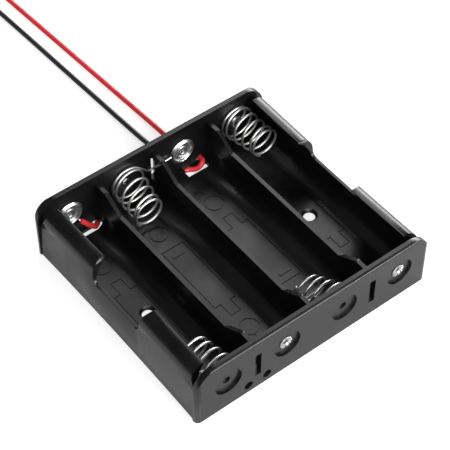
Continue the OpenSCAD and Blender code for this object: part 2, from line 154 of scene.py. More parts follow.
def new_object(
    name: str,
    vertices: Sequence[Sequence[float]],
    faces: Sequence[Sequence[int]],
) -> bpy.types.Object:
    """Makes a smooth-shaded mesh object from vertices and faces.

    Args:
        name: Name of the object and of its mesh.
        vertices: Points in metres, in the row frame.
        faces: Lists of vertex indices.

    Returns:
        The object, linked to the scene.
    """
    mesh = bpy.data.meshes.new(name)
    mesh.from_pydata([tuple(v) for v in vertices], [], [tuple(f) for f in faces])
    mesh.validate()
    mesh.polygons.foreach_set("use_smooth", [True] * len(mesh.polygons))
    mesh.update()
    obj = bpy.data.objects.new(name, mesh)
    bpy.context.scene.collection.objects.link(obj)
    return obj


def catmull(points: Sequence[Vector], steps: int) -> list[Vector]:
    """Smooth curve through the points.

    Args:
        points: Control points that the curve passes through.
        steps: Samples for each span.

    Returns:
        The sampled points, with both end points.
    """
    last = len(points) - 1
    out: list[Vector] = []
    for i in range(last):
        p0, p1 = points[max(i - 1, 0)], points[i]
        p2, p3 = points[i + 1], points[min(i + 2, last)]
        for k in range(steps):
            t = k / steps
            square = 2 * p0 - 5 * p1 + 4 * p2 - p3
            cube = 3 * p1 - p0 - 3 * p2 + p3
            out.append(0.5 * (2 * p1 + (p2 - p0) * t + square * t * t + cube * t * t * t))
    out.append(points[last].copy())
    return out


def tube(
    name: str,
    path: Sequence[Vector],
    radius: float | Callable[[float], float],
    sides: int = 14,
    round_ends: bool = True,
) -> bpy.types.Object:
    """Sweeps a round section along a path without twist.

    Args:
        name: Name of the object.
        path: Centreline in metres.
        radius: Radius in metres, or a function of the share of the path.
        sides: Sides of the section.
        round_ends: Adds two shrinking rings at each end, so wire ends look cut and dressed.

    Returns:
        A closed tube.
    """
    radius_at = radius if callable(radius) else (lambda share: radius)
    count = len(path)
    tangents = [(path[min(i + 1, count - 1)] - path[max(i - 1, 0)]).normalized() for i in range(count)]
    side = tangents[0].orthogonal().normalized()
    rings: list[list[Vector]] = []

    def ring(centre: Vector, tangent: Vector, across: Vector, r: float) -> list[Vector]:
        """One round section of the tube.

        Args:
            centre: Middle of the section.
            tangent: Direction of the path there.
            across: Direction of the section's first point.
            r: Radius of the section.

        Returns:
            The points of the section.
        """
        up = tangent.cross(across)
        return [
            centre + r * (math.cos(2 * math.pi * k / sides) * across + math.sin(2 * math.pi * k / sides) * up)
            for k in range(sides)
        ]

    for i in range(count):
        side = (side - tangents[i] * side.dot(tangents[i])).normalized()
        r = radius_at(i / (count - 1))
        if i == 0 and round_ends:
            rings.append(ring(path[0], tangents[0], side, r * END_SHRINK))
            rings.append(ring(path[0] + tangents[0] * r * END_SETBACK, tangents[0], side, r))
            continue
        if i == count - 1 and round_ends:
            rings.append(ring(path[i] - tangents[i] * r * END_SETBACK, tangents[i], side, r))
            rings.append(ring(path[i], tangents[i], side, r * END_SHRINK))
            continue
        rings.append(ring(path[i], tangents[i], side, r))
    vertices = [v for loop in rings for v in loop]
    faces: list[list[int]] = [
        [a * sides + k, a * sides + (k + 1) % sides, (a + 1) * sides + (k + 1) % sides, (a + 1) * sides + k]
        for a in range(len(rings) - 1)
        for k in range(sides)
    ]
    faces.append(list(reversed(range(sides))))
    faces.append([(len(rings) - 1) * sides + k for k in range(sides)])
    return new_object(name, vertices, faces)


def lathe(
    name: str,
    frame: PlateFrame,
    profile: Sequence[tuple[float, float]],
    segments: int = 72,
    shape: Callable[[float, float, float], tuple[float, float]] | None = None,
) -> bpy.types.Object:
    """Turns a closed profile about the axis of a bay.

    Args:
        name: Name of the object.
        frame: Where the piece sits.
        profile: Closed loop of (radius, height) in millimetres.
        segments: Steps round the axis.
        shape: Optional change of (radius, height) with the angle, for crimps and dents.

    Returns:
        The turned ring.
    """
    vertices: list[Vector] = []
    for k in range(segments):
        a = 2 * math.pi * k / segments
        for r, h in profile:
            rr, hh = shape(r, h, a) if shape else (r, h)
            vertices.append(frame(rr * math.cos(a), rr * math.sin(a), hh))
    n = len(profile)
    faces = [
        [k * n + i, k * n + (i + 1) % n, ((k + 1) % segments) * n + (i + 1) % n, ((k + 1) % segments) * n + i]
        for k in range(segments)
        for i in range(n)
    ]
    obj = new_object(name, vertices, faces)
    fix_normals(obj)
    return obj


def fix_normals(obj: bpy.types.Object) -> None:
    """Points the faces of a closed mesh outwards.

    Args:
        obj: A mesh object, changed in place.
    """
    bm = bmesh.new()
    bm.from_mesh(obj.data)
    bmesh.ops.recalc_face_normals(bm, faces=bm.faces)
    bm.to_mesh(obj.data)
    bm.free()


def rounded(loop: Sequence[tuple[float, float, float]], steps: int = 4) -> list[tuple[float, float]]:
    """Rounds the corners of a closed profile.

    Args:
        loop: (radius, height, corner rounding) in millimetres.
        steps: Points on each rounded corner, less one.

    Returns:
        The closed loop of (radius, height).
    """
    out: list[tuple[float, float]] = []
    n = len(loop)
    for i, (x, y, r) in enumerate(loop):
        here = Vector((x, y))
        before = Vector(loop[i - 1][:2]) - here
        after = Vector(loop[(i + 1) % n][:2]) - here
        cut = min(r, before.length * 0.48, after.length * 0.48)
        if cut <= 0.004:
            out.append((x, y))
            continue
        a, b = here + before.normalized() * cut, here + after.normalized() * cut
        for k in range(steps + 1):
            t = k / steps
            p = a * (1 - t) ** 2 + here * 2 * t * (1 - t) + b * t * t
            out.append((p.x, p.y))
    return out


# ---------------------------------------------------------------- shared effects


class Effects:
    """Shader node groups that several finishes place, each built once."""

    _made: dict[str, bpy.types.NodeTree] = {}

    @classmethod
    def _start(
        cls, name: str, inputs: Sequence[tuple[str, float]], outputs: Sequence[str]
    ) -> bpy.types.NodeTree:
        """Opens a new group of float sockets, with its input and output nodes.

        Args:
            name: Name of the group.
            inputs: Name and default value of each input.
            outputs: Name of each output.

        Returns:
            The group, with nodes named "in" and "out".
        """
        tree = bpy.data.node_groups.new(name, "ShaderNodeTree")
        for label, value in inputs:
            socket = tree.interface.new_socket(name=label, in_out="INPUT", socket_type="NodeSocketFloat")
            socket.default_value = value
        for label in outputs:
            tree.interface.new_socket(name=label, in_out="OUTPUT", socket_type="NodeSocketFloat")
        tree.nodes.new("NodeGroupInput").name = "in"
        tree.nodes.new("NodeGroupOutput").name = "out"
        cls._made[name] = tree
        return tree

    @classmethod
    def grain(cls) -> bpy.types.NodeTree:
        """Fine surface grain with slow cloudy variation.

        Returns:
            A group with inputs Scale and Cloud Scale, and outputs Height and Cloud.
        """
        if "surface_grain" in cls._made:
            return cls._made["surface_grain"]
        t = cls._start("surface_grain", [("Scale", 900.0), ("Cloud Scale", 60.0)], ["Height", "Cloud"])
        where = t.nodes.new("ShaderNodeTexCoord")
        fine = t.nodes.new("ShaderNodeTexNoise")
        fine.inputs["Detail"].default_value = 3.0
        cloud = t.nodes.new("ShaderNodeTexNoise")
        cloud.inputs["Detail"].default_value = 2.0
        t.links.new(where.outputs["Object"], fine.inputs["Vector"])
        t.links.new(where.outputs["Object"], cloud.inputs["Vector"])
        t.links.new(t.nodes["in"].outputs["Scale"], fine.inputs["Scale"])
        t.links.new(t.nodes["in"].outputs["Cloud Scale"], cloud.inputs["Scale"])
        t.links.new(fine.outputs["Fac"], t.nodes["out"].inputs["Height"])
        t.links.new(cloud.outputs["Fac"], t.nodes["out"].inputs["Cloud"])
        return t

    @classmethod
    def scuffs(cls) -> bpy.types.NodeTree:
        """Sparse hairline scuffs and specks of dust.

        Returns:
            A group with inputs Scale and Amount, and output Mask.
        """
        if "handling_scuffs" in cls._made:
            return cls._made["handling_scuffs"]
        t = cls._start("handling_scuffs", [("Scale", 140.0), ("Amount", 0.5)], ["Mask"])
        where = t.nodes.new("ShaderNodeTexCoord")
        stretch = t.nodes.new("ShaderNodeMapping")
        stretch.inputs["Rotation"].default_value = (0.3, 0.2, 0.7)
        stretch.inputs["Scale"].default_value = (1.0, 9.0, 1.0)
        lines = t.nodes.new("ShaderNodeTexNoise")
        lines.inputs["Detail"].default_value = 4.0
        cut = t.nodes.new("ShaderNodeMapRange")
        cut.inputs["From Min"].default_value = 0.60
        cut.inputs["From Max"].default_value = 0.74
        scale = t.nodes.new("ShaderNodeMath")
        scale.operation = "MULTIPLY"
        t.links.new(where.outputs["Object"], stretch.inputs["Vector"])
        t.links.new(stretch.outputs["Vector"], lines.inputs["Vector"])
        t.links.new(t.nodes["in"].outputs["Scale"], lines.inputs["Scale"])
        t.links.new(lines.outputs["Fac"], cut.inputs["Value"])
        t.links.new(cut.outputs["Result"], scale.inputs[0])
        t.links.new(t.nodes["in"].outputs["Amount"], scale.inputs[1])
        t.links.new(scale.outputs["Value"], t.nodes["out"].inputs["Mask"])
        return t


@dataclass(frozen=True)
class Finish:
    """A finish with grain, cloudy colour and roughness, and scuffs.

    Attributes:
        name: Name of the material.
        colour: Main colour.
        cloud_colour: Colour that the clouds and scuffs lean towards.
        metallic: 0 for plastic, 1 for metal.
        roughness: Lowest and highest roughness.
        grain_scale: Scale of the fine grain.
        cloud_scale: Scale of the slow variation.
        bump: Height of the grain in metres.
        scuff: Strength of the scuffs, from 0 to 1.
        specular: Specular level.
        coat: Weight of a clear glossy skin.
        coat_roughness: Roughness of that skin.
    """

    name: str
    colour: Colour
    cloud_colour: Colour
    metallic: float = 0.0
    roughness: tuple[float, float] = (0.3, 0.45)
    grain_scale: float = 900.0
    cloud_scale: float = 60.0
    bump: float = 0.00001
    scuff: float = 0.3
    specular: float = 0.5
    coat: float = 0.0
    coat_roughness: float = 0.1

    def material(self) -> bpy.types.Material:
        """Builds the material, or finds it if it is built.

        Returns:
            The material.
        """
        found = bpy.data.materials.get(self.name)
        if found:
            return found
        mat = bpy.data.materials.new(self.name)
        mat.use_nodes = True
        t = mat.node_tree
        shader = t.nodes["Principled BSDF"]
        shader.inputs["Metallic"].default_value = self.metallic
        shader.inputs["Specular IOR Level"].default_value = self.specular
        shader.inputs["Coat Weight"].default_value = self.coat
        shader.inputs["Coat Roughness"].default_value = self.coat_roughness
        grain = t.nodes.new("ShaderNodeGroup")
        grain.node_tree = Effects.grain()
        grain.inputs["Scale"].default_value = self.grain_scale
        grain.inputs["Cloud Scale"].default_value = self.cloud_scale
        scuffs = t.nodes.new("ShaderNodeGroup")
        scuffs.node_tree = Effects.scuffs()
        scuffs.inputs["Amount"].default_value = self.scuff

        lean = t.nodes.new("ShaderNodeMath")
        lean.operation = "MAXIMUM"
        spread = t.nodes.new("ShaderNodeMapRange")
        spread.inputs["From Min"].default_value = 0.35
        spread.inputs["From Max"].default_value = 0.7
        t.links.new(grain.outputs["Cloud"], spread.inputs["Value"])
        t.links.new(spread.outputs["Result"], lean.inputs[0])
        t.links.new(scuffs.outputs["Mask"], lean.inputs[1])
        mix = t.nodes.new("ShaderNodeMix")
        mix.data_type = "RGBA"
        mix.inputs["A"].default_value = self.colour
        mix.inputs["B"].default_value = self.cloud_colour
        t.links.new(lean.outputs["Value"], mix.inputs["Factor"])
        t.links.new(mix.outputs["Result"], shader.inputs["Base Color"])

        rough = t.nodes.new("ShaderNodeMapRange")
        rough.inputs["To Min"].default_value = self.roughness[0]
        rough.inputs["To Max"].default_value = self.roughness[1]
        t.links.new(lean.outputs["Value"], rough.inputs["Value"])
        t.links.new(rough.outputs["Result"], shader.inputs["Roughness"])

        bump = t.nodes.new("ShaderNodeBump")
        bump.inputs["Distance"].default_value = self.bump
        bump.inputs["Strength"].default_value = 1.0
        t.links.new(grain.outputs["Height"], bump.inputs["Height"])
        t.links.new(bump.outputs["Normal"], shader.inputs["Normal"])
        return mat

    def dress(self, obj: bpy.types.Object) -> None:
        """Puts the finish on every material slot of an object.

        Args:
            obj: The object to dress.
        """
        mat = self.material()
        if not obj.material_slots:
            obj.data.materials.append(mat)
        for s in obj.material_slots:
            s.link = "OBJECT"
            s.material = mat


MOULDED_BLACK = Finish(
    "moulded_black_plastic", (0.003, 0.003, 0.0032, 1), (0.006, 0.006, 0.0062, 1),
    roughness=(0.26, 0.36), grain_scale=2600.0, cloud_scale=70.0, bump=0.000004, scuff=0.35, specular=0.5,
)
SPRING_NICKEL = Finish(
    "nickel_spring_wire", (0.86, 0.86, 0.85, 1), (0.74, 0.73, 0.72, 1), metallic=1.0,
    roughness=(0.3, 0.42), grain_scale=1800.0, cloud_scale=420.0, bump=0.000004, scuff=0.5,
)
PRESSED_NICKEL = Finish(
    "pressed_nickel_sheet", (0.86, 0.86, 0.86, 1), (0.7, 0.69, 0.68, 1), metallic=1.0,
    roughness=(0.27, 0.36), grain_scale=1500.0, cloud_scale=500.0, bump=0.000001, scuff=0.12,
)
EYELET_PLATE = Finish(
    "rolled_eyelet_plate", (0.66, 0.66, 0.65, 1), (0.36, 0.36, 0.35, 1), metallic=1.0,
    roughness=(0.26, 0.4), grain_scale=1600.0, cloud_scale=700.0, bump=0.000001, scuff=0.2,
)
RED_SLEEVE = Finish(
    "red_wire_sleeve", (0.85, 0.045, 0.055, 1), (0.76, 0.028, 0.04, 1),
    roughness=(0.3, 0.45), grain_scale=1400.0, cloud_scale=260.0, bump=0.000006, scuff=0.3, specular=0.5,
)
BLACK_SLEEVE = Finish(
    "black_wire_sleeve", (0.012, 0.012, 0.014, 1), (0.02, 0.02, 0.022, 1),
    roughness=(0.32, 0.46), grain_scale=1400.0, cloud_scale=260.0, bump=0.000006, scuff=0.3, specular=0.5,
)
TINNED = Finish(
    "tinned_strands", (0.76, 0.76, 0.77, 1), (0.55, 0.55, 0.56, 1), metallic=1.0,
    roughness=(0.22, 0.45), grain_scale=2200.0, cloud_scale=900.0, bump=0.00001, scuff=0.5,
)


# ---------------------------------------------------------------- pieces


def stand_for(piece: bpy.types.Object, finish: Finish, node: str) -> None:
    """Dresses a piece, fixes it to the holder and lets it stand for a CAD node.

    Args:
        piece: The new piece.
        finish: Its finish.
        node: Name of the CAD node.
    """
    finish.dress(piece)
    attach(piece, "holder")
    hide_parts(node)
    log.info("%s stands for %s, finish %s", piece.name, node, finish.name)


@dataclass
class Lead:
    """One free lead: sleeve from its exit to its far end, and its tinned tip.

    Attributes:
        name: Name of the CAD node that the sleeve stands for.
        route: Points of the lead in the row frame, in millimetres.
        finish: Finish of the sleeve.
        slot: Material slot of the record named for the sleeve; not used.
        length: Real length of the lead in metres.
        strand_l: Length of the bare strands in metres.
    """

    name: str
    route: Sequence[Point]
    finish: Finish
    slot: str
    length: float = 0.15
    strand_l: float = 0.006

    def build(self) -> bpy.types.Object:
        """Returns:
            The sleeve.
        """
        points = catmull([Vector(p) * MM for p in self.route], 6)
        curve = bpy.data.curves.new(self.name + "_sleeve", "CURVE")
        curve.dimensions = "3D"
        curve.bevel_depth = SIZES.lead_d / 2 * MM
        curve.bevel_resolution = 5
        curve.use_fill_caps = True
        spline = curve.splines.new("POLY")
        spline.points.add(len(points) - 1)
        for p, q in zip(spline.points, points):
            p.co = (q.x, q.y, q.z, 1.0)
        spline.use_smooth = True
        sleeve = bpy.data.objects.new(self.name + "_sleeve", curve)
        bpy.context.scene.collection.objects.link(sleeve)
        stand_for(sleeve, self.finish, self.name)
        tip = self._tip(points)
        log.info("%s: cord of %.0f mm, %d points", self.name, self.length / MM, len(points))
        return sleeve

    def _tip(self, points: Sequence[Vector]) -> bpy.types.Object:
        """Twisted, tinned strands that stand for the CAD tip.

        Args:
            points: Centreline of the sleeve.

        Returns:
            The tip.
        """
        end = points[-1]
        ahead = (points[-1] - points[-2]).normalized()
        path = [end + ahead * self.strand_l * k / 40 for k in range(41)]
        tip = tube(self.name + "_strands", path, lambda s: (0.36 + 0.025 * math.sin(s * 60)) * MM, sides=16)
        stand_for(tip, TINNED, self.name + "_tip")
        return tip


@dataclass
class CoilSpring:
    """Conical contact spring, wound from round wire.

    Attributes:
        number: Number of the spring, from 1.
        frame: Its end plate and bay.
        lean: How far the free end sits off the axis, in local millimetres.
        base_r: Radius of the base turn, to the wire centre.
        tip_r: Radius at the free end.
        free_l: Free length.
        base_turns: Close turns on the plate.
        open_turns: Open turns.
        tip_turns: Close turns at the free end.
        start: Angle where the base turn begins.
        linked: Whether the wire runs on to the next bay's contact.
        press: Travel of its joint; not used.
        per_turn: Points in each turn.
        eye_r: Radius of the eye of a spring without a link, to the wire centre.
        seat: Height of the wire's centre over the plate.
    """

    number: int
    frame: PlateFrame
    lean: tuple[float, float] = (0.0, 0.0)
    base_r: float = 5.2
    tip_r: float = 4.5
    free_l: float = 12.2
    base_turns: float = 1.0
    open_turns: float = 3.4
    tip_turns: float = 1.1
    start: float = 45.0
    linked: bool = True
    press: float = 7.3
    per_turn: int = 56
    eye_r: float = 1.545
    seat: float = field(default=0.405, init=False)

    def _coil(self) -> list[Vector]:
        """Winds the turns.

        Returns:
            Local points of the turns, from the plate to the free end.
        """
        end = self.free_l - self.seat
        close = SIZES.wire_d * 1.1
        total = self.base_turns + self.open_turns + self.tip_turns
        steps = round(total * self.per_turn)
        rise = end - self.seat - close * (self.base_turns + self.tip_turns)
        out: list[Vector] = []
        for i in range(steps + 1):
            t = i / self.per_turn
            u = min(max((t - self.base_turns) / self.open_turns, 0.0), 1.0)
            w = max(t - self.base_turns - self.open_turns, 0.0)
            h = self.seat + close * min(t, self.base_turns) + rise * u + close * w
            r = self.base_r + (self.tip_r - self.base_r) * u
            a = math.radians(self.start + 360 * t)
            q = (h - self.seat) / (end - self.seat)
            out.append(Vector((r * math.cos(a) + self.lean[0] * q, r * math.sin(a) + self.lean[1] * q, h)))
        return out

    def _link(self) -> list[Vector]:
        """Lays the straight link to the next bay.

        Returns:
            Local points of the link, from under the next contact's rim to the base turn.
        """
        a = math.radians(self.start)
        ring = Vector((self.base_r * math.cos(a), self.base_r * math.sin(a)))
        away = Vector((math.sin(a), -math.cos(a)))
        bend = ring + away * 5.2
        half = SIZES.pitch / 2
        flat = [
            (SIZES.pitch - 3.8, 0.1), (SIZES.pitch - 6.3, 0.0), (half + 0.8, -0.2),
            (max(half - 1.2, bend.x + 1), bend.y - 0.2), (bend.x, bend.y),
            tuple(ring + away * 3.5), tuple(ring + away * 1.6),
        ]
        flat.append((ring.x, ring.y))
        return catmull([Vector((x, y, self.seat)) for x, y in flat], 6)[:-1]

    def _eye(self) -> list[Vector]:
        """Winds the small eye round the eyelet, which spirals out to the base turn.

        Returns:
            Local points of the eye, up to the base turn.
        """
        r0 = self.eye_r
        turn = [math.radians(-330 + 10 * i) for i in range(31)]
        out = [Vector((r0 * math.cos(a), r0 * math.sin(a), self.seat)) for a in turn]
        for i in range(1, 42):
            q = i / 42
            ease = q * q * (3 - 2 * q)
            a = math.radians(-30 + 96 * q)
            r = r0 + (self.base_r - r0) * ease
            out.append(Vector((r * math.cos(a), r * math.sin(a), self.seat)))
        return out

    def build(self) -> bpy.types.Object:
        """Builds the spring on the tray.

        Returns:
            The spring.
        """
        local = (self._link() if self.linked else self._eye()) + self._coil()
        path = [self.frame(p.x, p.y, p.z) for p in local]
        spring = tube(f"coil_spring_{self.number}", path, SIZES.wire_d / 2 * MM, sides=12)
        stand_for(spring, SPRING_NICKEL, f"contact_spring_{self.number}")
        anchor = self.frame(0, 0, 0)
        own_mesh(spring)
        return spring


@dataclass
class PressedContact:
    """Dished positive contact with a sloping, rolled rim.

    Attributes:
        number: Number of the contact, from 1.
        frame: Its end plate and bay.
        segments: Steps round the dish.
    """

    number: int
    frame: PlateFrame
    segments: int = 96

    def build(self) -> bpy.types.Object:
        """Builds the dish with rounded bends and edges.

        Returns:
            The contact.
        """
        loop = rounded([
            (1.16, 0.0, 0.02), (2.6, 0.0, 0.2), (3.2, 0.55, 0.2), (3.45, 0.75, 0.2), (4.24, 0.2, 0.08),
            (4.3, 0.42, 0.06), (3.7, 0.97, 0.12), (3.5, 1.05, 0.14), (3.25, 0.98, 0.14), (3.02, 0.55, 0.1),
            (2.86, 0.25, 0.12), (1.16, 0.25, 0.02),
        ], 5)

        def press(r: float, h: float, a: float) -> tuple[float, float]:
            """Adds the slight unevenness that a stamped rim has.

            Args:
                r: Radius in millimetres.
                h: Height in millimetres.
                a: Angle in radians.

            Returns:
                The same radius and the changed height.
            """
            lift = 0.012 * math.sin(2 * a + self.number) + 0.008 * math.sin(5 * a)
            return r, h + lift * max(0.0, (r - 3.0) / 1.3)

        dish = lathe(f"dished_contact_{self.number}", self.frame, loop, self.segments, press)
        stand_for(dish, PRESSED_NICKEL, f"positive_contact_{self.number}")
        return dish


@dataclass
class RolledEyelet:
    """Hollow eyelet: smooth flange inside and a split, curled collar outside.

    Attributes:
        node: Name of the CAD node that it stands for.
        frame: Its end plate and bay.
        grip: Height of what it clamps inside, in millimetres.
        splits: Petals of the curled collar.
        gap: Half width of the gap between petals, as a share of one petal.
        segments: Steps round the shell.
    """

    node: str
    frame: PlateFrame
    grip: float
    splits: int = 6
    gap: float = 0.17
    segments: int = 144

    def build(self) -> bpy.types.Object:
        """Builds the eyelet as one turned shell with a split collar.

        Returns:
            The eyelet.
        """
        g, w = self.grip, SIZES.web
        loop = rounded([
            (0.75, g + 0.14, 0.1), (0.95, g + 0.34, 0.15), (1.5, g + 0.36, 0.2), (1.85, g + 0.16, 0.12),
            (1.82, g + 0.005, 0.05), (1.1, g + 0.005, 0.03), (1.1, -w - 0.005, 0.03), (2.0, -w - 0.005, 0.05),
            (2.08, -w - 0.2, 0.12), (1.72, -w - 0.38, 0.15), (1.15, -w - 0.3, 0.12), (0.75, -w + 0.12, 0.15),
        ], 4)

        def crimp(r: float, h: float, a: float) -> tuple[float, float]:
            """Splits the curled collar into petals.

            Args:
                r: Radius in millimetres.
                h: Height in millimetres.
                a: Angle in radians.

            Returns:
                The changed radius and height.
            """
            if h > -w - 0.02 or r < 0.8:
                return r, h
            turn = a * self.splits / (2 * math.pi) + 0.15 * self.splits * math.sin(a)
            near = abs((turn % 1.0) - 0.5)
            notch = max(0.0, 1 - near / self.gap) ** 0.7
            drawn_in = r - 0.72 * notch * (r - 1.12) if r > 1.12 else r
            return drawn_in, h + 0.93 * notch * (-w - 0.02 - h)

        eyelet = lathe(self.node + "_shell", self.frame, loop, self.segments, crimp)
        stand_for(eyelet, EYELET_PLATE, self.node)
        return eyelet


@dataclass
class InnerRun:
    """Red wire inside the tray: from the first contact through the groove to the lead hole.

    Attributes:
        edge_past: How far past the contact's rim the sleeve starts, in millimetres.
        rim_angle: Angle below +X at which the wire leaves the rim.
        groove_y: Y of the wire in the groove, from the plate's inner face.
        groove_z: Height of the wire in the groove.
    """

    edge_past: float = 0.85
    rim_angle: float = 56.0
    groove_y: float = 0.23
    groove_z: float = 0.85

    def _rim_edge(self, past: float, y: float) -> Vector:
        """Finds a point past the rim of the first contact, towards the slot.

        Args:
            past: Distance past the rim in millimetres.
            y: Distance from the plate's inner face along Y.

        Returns:
            The point in the row frame, in millimetres.
        """
        a = math.radians(self.rim_angle)
        reach = SIZES.contact_r + past
        return Vector((
            SIZES.bay_x(0) + reach * math.cos(a), SIZES.inner_half + y, SIZES.axis_z - reach * math.sin(a),
        ))

    def build(self) -> bpy.types.Object:
        """Builds the sleeve and its soldered bare end.

        Returns:
            The sleeve.
        """
        y0 = SIZES.inner_half
        down = [
            (3.65, -1.3, 5.3), (4.55, -1.8, 4.3), (5.55, -2.0, 3.2), (6.45, -1.95, 2.15),
            (7.25, -1.75, 1.35), (8.15, -1.0, 0.9), (9.35, -0.05, 0.85), (10.95, 0.23, 0.85),
        ]
        up = [(-0.85, 0.23, 0.85), (0.75, 0.2, 0.85), (2.3, -0.2, 0.85), (3.5, -1.1, 0.95), (4.5, -1.75, 1.35)]
        out = [
            (-1.35, -2.0, 2.1), (-0.6, -1.85, 2.8), (-0.1, -1.3, 3.05),
            (0.0, -0.5, 2.95), (0.0, 0.8, 2.9), (0.0, 1.9, 2.9),
        ]
        x_first, x_third = SIZES.bay_x(0), SIZES.bay_x(2)
        hole = SIZES.pitch - SIZES.lead_hole_dx
        start, end = x_first + down[-1][0], x_third + up[0][0]
        points = [self._rim_edge(self.edge_past, -0.88)]
        points += [Vector((x_first + x, y0 + y, z)) for x, y, z in down]
        points += [
            Vector((start + t * (end - start), y0 + self.groove_y, self.groove_z)) for t in (0.2, 0.4, 0.6, 0.8)
        ]
        points += [Vector((x_third + x, y0 + y, z)) for x, y, z in up]
        points += [Vector((hole + x, y0 + y, z)) for x, y, z in out]
        sleeve = tube("inner_run_sleeve", catmull([p * MM for p in points], 8), SIZES.lead_d / 2 * MM, sides=20)
        stand_for(sleeve, RED_SLEEVE, "red_inner_run")
        sleeve.visible_glossy = False
        core = [
            self._rim_edge(-0.85, -0.4),
            self._rim_edge(-0.05, -0.42),
            self._rim_edge(self.edge_past, -0.88),
        ]
        bare = tube("inner_run_strands", catmull([p * MM for p in core], 10), SIZES.strand_r * MM, sides=16)
        stand_for(bare, TINNED, "red_inner_core")
        return sleeve


@dataclass
class SolderJoint:
    """Blob of solder between the negative eyelet and the black lead.

    Attributes:
        frame: Its end plate and bay.
        height: Height of the blob over the eyelet's collar, in millimetres.
        collar: Height of the collar over the web, in millimetres.
    """

    frame: PlateFrame
    height: float = 1.9
    collar: float = 0.38

    def build(self) -> bpy.types.Object:
        """Builds the blob with a wetted foot and a dull crown.

        Returns:
            The blob.
        """
        base = -(SIZES.web + self.collar)
        loop = [
            (0.0, base), (1.5, base), (1.42, base - 0.25), (1.25, base - 0.7), (1.15, base - 1.2),
            (0.95, base - 1.6), (0.6, base - 1.83), (0.0, base - self.height),
        ]

        def flow(r: float, h: float, a: float) -> tuple[float, float]:
            """Adds the uneven flow of the cooled metal.

            Args:
                r: Radius in millimetres.
                h: Height in millimetres.
                a: Angle in radians.

            Returns:
                The changed radius and the same height.
            """
            return r * (1 + 0.04 * math.sin(3 * a + 1) - 0.04), h

        blob = lathe("black_lead_solder", self.frame, loop, 48, flow)
        stand_for(blob, TINNED, "black_solder")
        return blob


@dataclass
class Tray:
    """The moulded tray: the CAD's own shape with every sharp edge slightly broken.

    Attributes:
        edge_break: Width of the broken edges in millimetres.
        sharp_angle: Least angle between two faces whose edge is broken, in degrees.
        join: Distance under which doubled points are joined, in metres.
    """

    edge_break: float = 0.1
    sharp_angle: float = 32.0
    join: float = 0.000001

    def build(self, frame: dict[str, Any]) -> bpy.types.Object:
        """Copies the CAD tray into a new piece, breaks its edges and dresses it.


        Returns:
            The tray's visible piece.
        """
        tray = bpy.data.objects.new("tray_moulding", frame["nodes"]["tray"].data.copy())
        bpy.context.scene.collection.objects.link(tray)
        weld = tray.modifiers.new("weld", "WELD")
        weld.merge_threshold = self.join
        edge = tray.modifiers.new("edge_break", "BEVEL")
        edge.width = self.edge_break * MM
        edge.segments = 2
        edge.limit_method = "ANGLE"
        edge.angle_limit = math.radians(self.sharp_angle)
        edge.harden_normals = True
        edge.use_clamp_overlap = True
        stand_for(tray, MOULDED_BLACK, "tray")
        return tray


# ---------------------------------------------------------------- studio


@dataclass
class Softbox:
    """A rectangular lamp aimed at a point.

    Attributes:
        name: Name of the lamp.
        at: Place in metres.
        aim: Point that it faces.
        size: Width and height in metres.
        power: Power in watts.
    """

    name: str
    at: Point
    aim: Point
    size: tuple[float, float]
    power: float

    def build(self) -> bpy.types.Object:
        """Makes the lamp and links it to the scene.

        Returns:
            The lamp.
        """
        data = bpy.data.lights.new(self.name, "AREA")
        data.shape = "RECTANGLE"
        data.size, data.size_y = self.size
        data.energy = self.power
        lamp = bpy.data.objects.new(self.name, data)
        lamp.location = self.at
        lamp.rotation_mode = "QUATERNION"
        lamp.rotation_quaternion = (Vector(self.aim) - Vector(self.at)).to_track_quat("-Z", "Y")
        bpy.context.scene.collection.objects.link(lamp)
        log.info("lamp %s: %.1f W", self.name, self.power)
        return lamp


